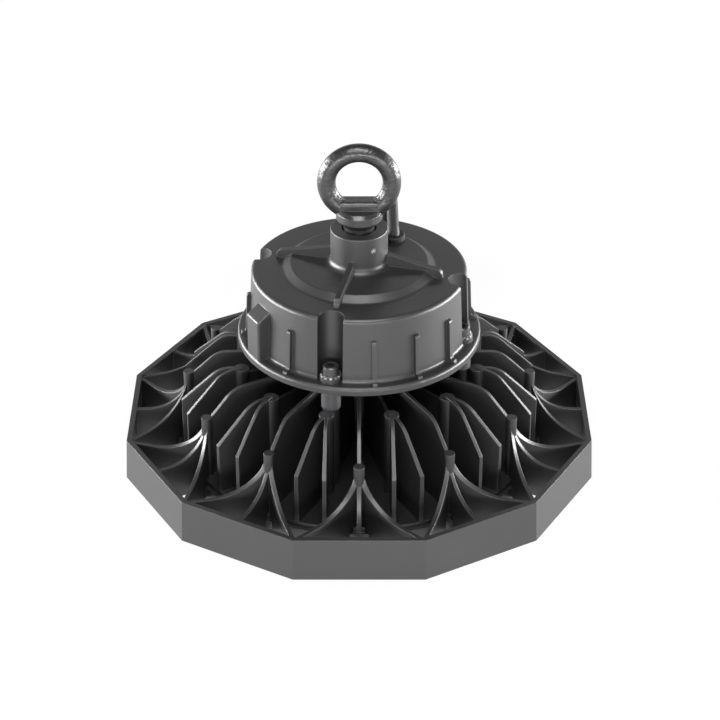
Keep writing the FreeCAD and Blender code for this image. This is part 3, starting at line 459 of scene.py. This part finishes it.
def moulded(name, low, high, smooth, rough, grain=900.0, relief=0.00001, **plain):
    """A moulded or extruded surface with a faint grain."""
    material, tree, shader = start_material(name, **plain)
    grain_node = place_group(tree, powder_grain, Grain_Scale=grain, Cloud_Scale=moulded_clouds)
    tone = grain_node.outputs["Tone"]
    tree.links.new(between(tree, tone, low, high), shader.inputs["Base Color"])
    tree.links.new(between(tree, tone, smooth, rough), shader.inputs["Roughness"])
    normal = bump(tree, grain_node.outputs["Height"], relief, strength=0.5)
    tree.links.new(normal, shader.inputs["Normal"])
    return material

# %% Cable, gland and seals
black_plastic = (0.016, 0.016, 0.017), (0.024, 0.024, 0.025)
finishes["cable_sheath"] = moulded(
    "cable_sheath", *black_plastic, 0.56, 0.68, Specular_IOR_Level=0.35)
finishes["gland_plastic"] = moulded(
    "gland_plastic", *black_plastic, 0.48, 0.60, Specular_IOR_Level=0.4)
finishes["seal_rubber"] = moulded(
    "seal_rubber", (0.025, 0.025, 0.025), (0.040, 0.040, 0.040), 0.70, 0.85)
finishes["core_insulation"] = moulded(
    "core_insulation", (0.26, 0.10, 0.04), (0.34, 0.14, 0.06), 0.40, 0.55)
print(len(finishes), "finishes")

# %% The light source under the heat sink
finishes["led_board_mask"] = moulded(
    "led_board_mask", (0.80, 0.81, 0.80), (0.86, 0.87, 0.86), 0.28, 0.36)
finishes["led_phosphor"] = moulded(
    "led_phosphor", (0.80, 0.62, 0.16), (0.88, 0.74, 0.26), 0.20, 0.30)
finishes["thermal_pad_silicone"] = moulded(
    "thermal_pad_silicone", (0.42, 0.44, 0.47), (0.48, 0.50, 0.53), 0.7, 0.85)
finishes["lens_clear"] = moulded(
    "lens_clear", (0.93, 0.95, 0.96), (0.97, 0.98, 0.98), 0.03, 0.07,
    Transmission_Weight=1.0, IOR=1.58)
print(len(finishes), "finishes")

# %% The driver inside the housing
finishes["insulating_film"] = moulded(
    "insulating_film", (0.78, 0.76, 0.68), (0.84, 0.82, 0.74), 0.35, 0.45)
finishes["circuit_board"] = moulded(
    "circuit_board", (0.04, 0.22, 0.10), (0.06, 0.28, 0.14), 0.35, 0.45)
finishes["ferrite"] = moulded(
    "ferrite", (0.05, 0.05, 0.055), (0.09, 0.09, 0.095), 0.6, 0.75, relief=0.00004)
finishes["winding_tape"] = moulded(
    "winding_tape", (0.80, 0.60, 0.08), (0.88, 0.70, 0.14), 0.25, 0.35)
finishes["capacitor_sleeve"] = moulded(
    "capacitor_sleeve", (0.025, 0.035, 0.07), (0.035, 0.045, 0.09), 0.25, 0.35)
finishes["choke_wire"] = moulded(
    "choke_wire", (0.30, 0.10, 0.03), (0.40, 0.15, 0.05), 0.2, 0.3, grain=300.0, relief=0.0002)
finishes["terminal_plastic"] = moulded(
    "terminal_plastic", (0.04, 0.13, 0.28), (0.06, 0.17, 0.34), 0.4, 0.5)
print(len(finishes), "finishes")

# %% [markdown]
# ### Each solid gets its finish
# The record names one material slot for each solid node, so a short table from node to slot is all
# that is needed. The spacers are the one exception: their steel is duller than the screws'.

# %% Put the finishes on the solids
slot_of = {part["node"]: part["material_slot"] for part in frame["record"]["subparts"]}
finish_of = {name: finishes[slot_of[name]] for name in nodes}
finish_of["standoff_spacers"] = spacer_steel
for name, node in nodes.items():
    for material_slot in node.material_slots:
        material_slot.material = finish_of[name]
cable.data.materials.append(finishes["cable_sheath"])
print("finishes placed on", len(nodes), "nodes")

# %% [markdown]
# ## Studio
# The lamp stands on a white floor. It could be a curved backdrop, but a wide flat floor fills the
# view by itself, and its edges stay out of it. A black lamp shows mostly what it reflects, so the
# walls take their grey from the white floor and from low, wide soft boxes at the left, the right and
# the front. A box above the camera draws the bright lines on fins, steps and the ring, and a weak one
# behind keeps the flat tops from going fully black. The room is bright at the horizon and dark
# overhead, which leaves the pockets between the fins deep.

# %% Floor
half_floor = 6.0
floor_gap = 0.0002     # just under the rim, so that two faces don't share one place
floor_corners = [(-half_floor, -half_floor, 0), (half_floor, -half_floor, 0),
                 (half_floor, half_floor, 0), (-half_floor, half_floor, 0)]
floor_mesh = bpy.data.meshes.new("studio_floor")
floor_mesh.from_pydata(floor_corners, [], [(0, 1, 2, 3)])
floor = bpy.data.objects.new("studio_floor", floor_mesh)
bpy.context.collection.objects.link(floor)
floor.location.z = -floor_gap
print("floor", round(2 * half_floor, 1), "m wide")

# %% [markdown]
# ### A white floor that keeps the shadow
# More lamps would make the floor white, but they would also wash out the lamp's black. So most of the
# white is a plain glow that only the camera, reflections and clear parts see, and matt surfaces get no
# light from it. The rest is an ordinary matt surface, and that share carries the lamp's soft shadow.

# %% Floor material
glow_share = 0.88
floor_material, tree, shader = start_material("studio_white", roughness=0.9, Specular_IOR_Level=0.1)
shader.inputs["Base Color"].default_value = (0.92, 0.92, 0.92, 1.0)
glow = tree.nodes.new("ShaderNodeEmission")
rays = tree.nodes.new("ShaderNodeLightPath")
mix = tree.nodes.new("ShaderNodeMixShader")
seen = arithmetic(tree, "MAXIMUM", rays.outputs["Is Camera Ray"], rays.outputs["Is Glossy Ray"])
seen = arithmetic(tree, "MAXIMUM", seen, rays.outputs["Is Transmission Ray"])
tree.links.new(arithmetic(tree, "MULTIPLY", seen, glow_share), mix.inputs[0])
tree.links.new(shader.outputs[0], mix.inputs[1])
tree.links.new(glow.outputs[0], mix.inputs[2])
tree.links.new(mix.outputs[0], tree.nodes["Material Output"].inputs["Surface"])
floor_mesh.materials.append(floor_material)
print("floor glow", glow_share)

# %% [markdown]
# ### The room
# The world stands for the room's walls and ceiling. A picture of a real room could do this, but a
# smooth change between two levels is all that a black coat needs. The camera sees the world plain
# white. For the light on the lamp, and in its reflections, it goes from white at the horizon to dark
# overhead.

# %% World
horizon_light, ceiling_light = 0.95, 0.06
bright_up_to, dark_from = 0.03, 0.26     # as the height of a ray of length 1
world = bpy.data.worlds.new("studio_world")
world.use_nodes = True
bpy.context.scene.world = world
tree = world.node_tree
background = tree.nodes["Background"]
background.inputs["Color"].default_value = (1.0, 1.0, 1.0, 1.0)
direction = add(tree, "ShaderNodeTexCoord").outputs["Generated"]
height = add(tree, "ShaderNodeSeparateXYZ", [("Vector", direction)]).outputs["Z"]
climb = add(tree, "ShaderNodeMapRange", [("Value", height)], interpolation_type="SMOOTHSTEP")
climb.inputs["From Min"].default_value = bright_up_to
climb.inputs["From Max"].default_value = dark_from
climb.inputs["To Min"].default_value = horizon_light
climb.inputs["To Max"].default_value = ceiling_light
rays = tree.nodes.new("ShaderNodeLightPath")
tree.links.new(arithmetic(tree, "MAXIMUM", rays.outputs["Is Camera Ray"], climb.outputs["Result"]),
               background.inputs["Strength"])
print("room light from", horizon_light, "to", ceiling_light)

# %% [markdown]
# ### Soft boxes
# Spots would leave small hot dots on the gloss. Large area lamps give long soft lines of light, and no
# hard shadow. Each one faces a point low on the lamp's axis, so a table of places, sizes and powers
# says all there is to say about them.

# %% Lamps
def soft_box(name, place, target, width, height, power):
    """An area lamp that faces a point."""
    data = bpy.data.lights.new(name, "AREA")
    data.shape = "RECTANGLE"
    data.size, data.size_y = width, height
    data.energy = power
    lamp = bpy.data.objects.new(name, data)
    bpy.context.collection.objects.link(lamp)
    lamp.location = place
    lamp.rotation_euler = (Vector(target) - Vector(place)).to_track_quat("-Z", "Y").to_euler()
    return lamp


middle = (0.0, 0.0, 0.07)
# Name: place in metres, width and height in metres, and power in watts.
soft_boxes = {
    "left_box": ((-1.5, 0.26, 0.20), 1.8, 0.38, 66.0),
    "right_box": ((1.5, 0.32, 0.18), 1.8, 0.34, 64.0),
    "front_box": ((0.0, -2.3, 0.14), 2.6, 0.26, 30.0),
    "high_box": ((0.0, -0.80, 1.55), 0.9, 1.0, 22.0),
    "back_box": ((0.0, 1.7, 1.05), 1.6, 0.4, 2.5),
}
for name, (place, width, height, power) in soft_boxes.items():
    soft_box(name, place, middle, width, height, power)
print(len(soft_boxes), "soft boxes")

# %% The view setting that the portrait needs
# Standard shows each colour about as it is written.
bpy.context.scene.view_settings.view_transform = "Standard"

# %% [markdown]
# ## Finish
# The dressed lamp must be no larger than the solids it was built on. The last step brings the scene
# up to date.

# %% Finish
bpy.context.view_layer.update()
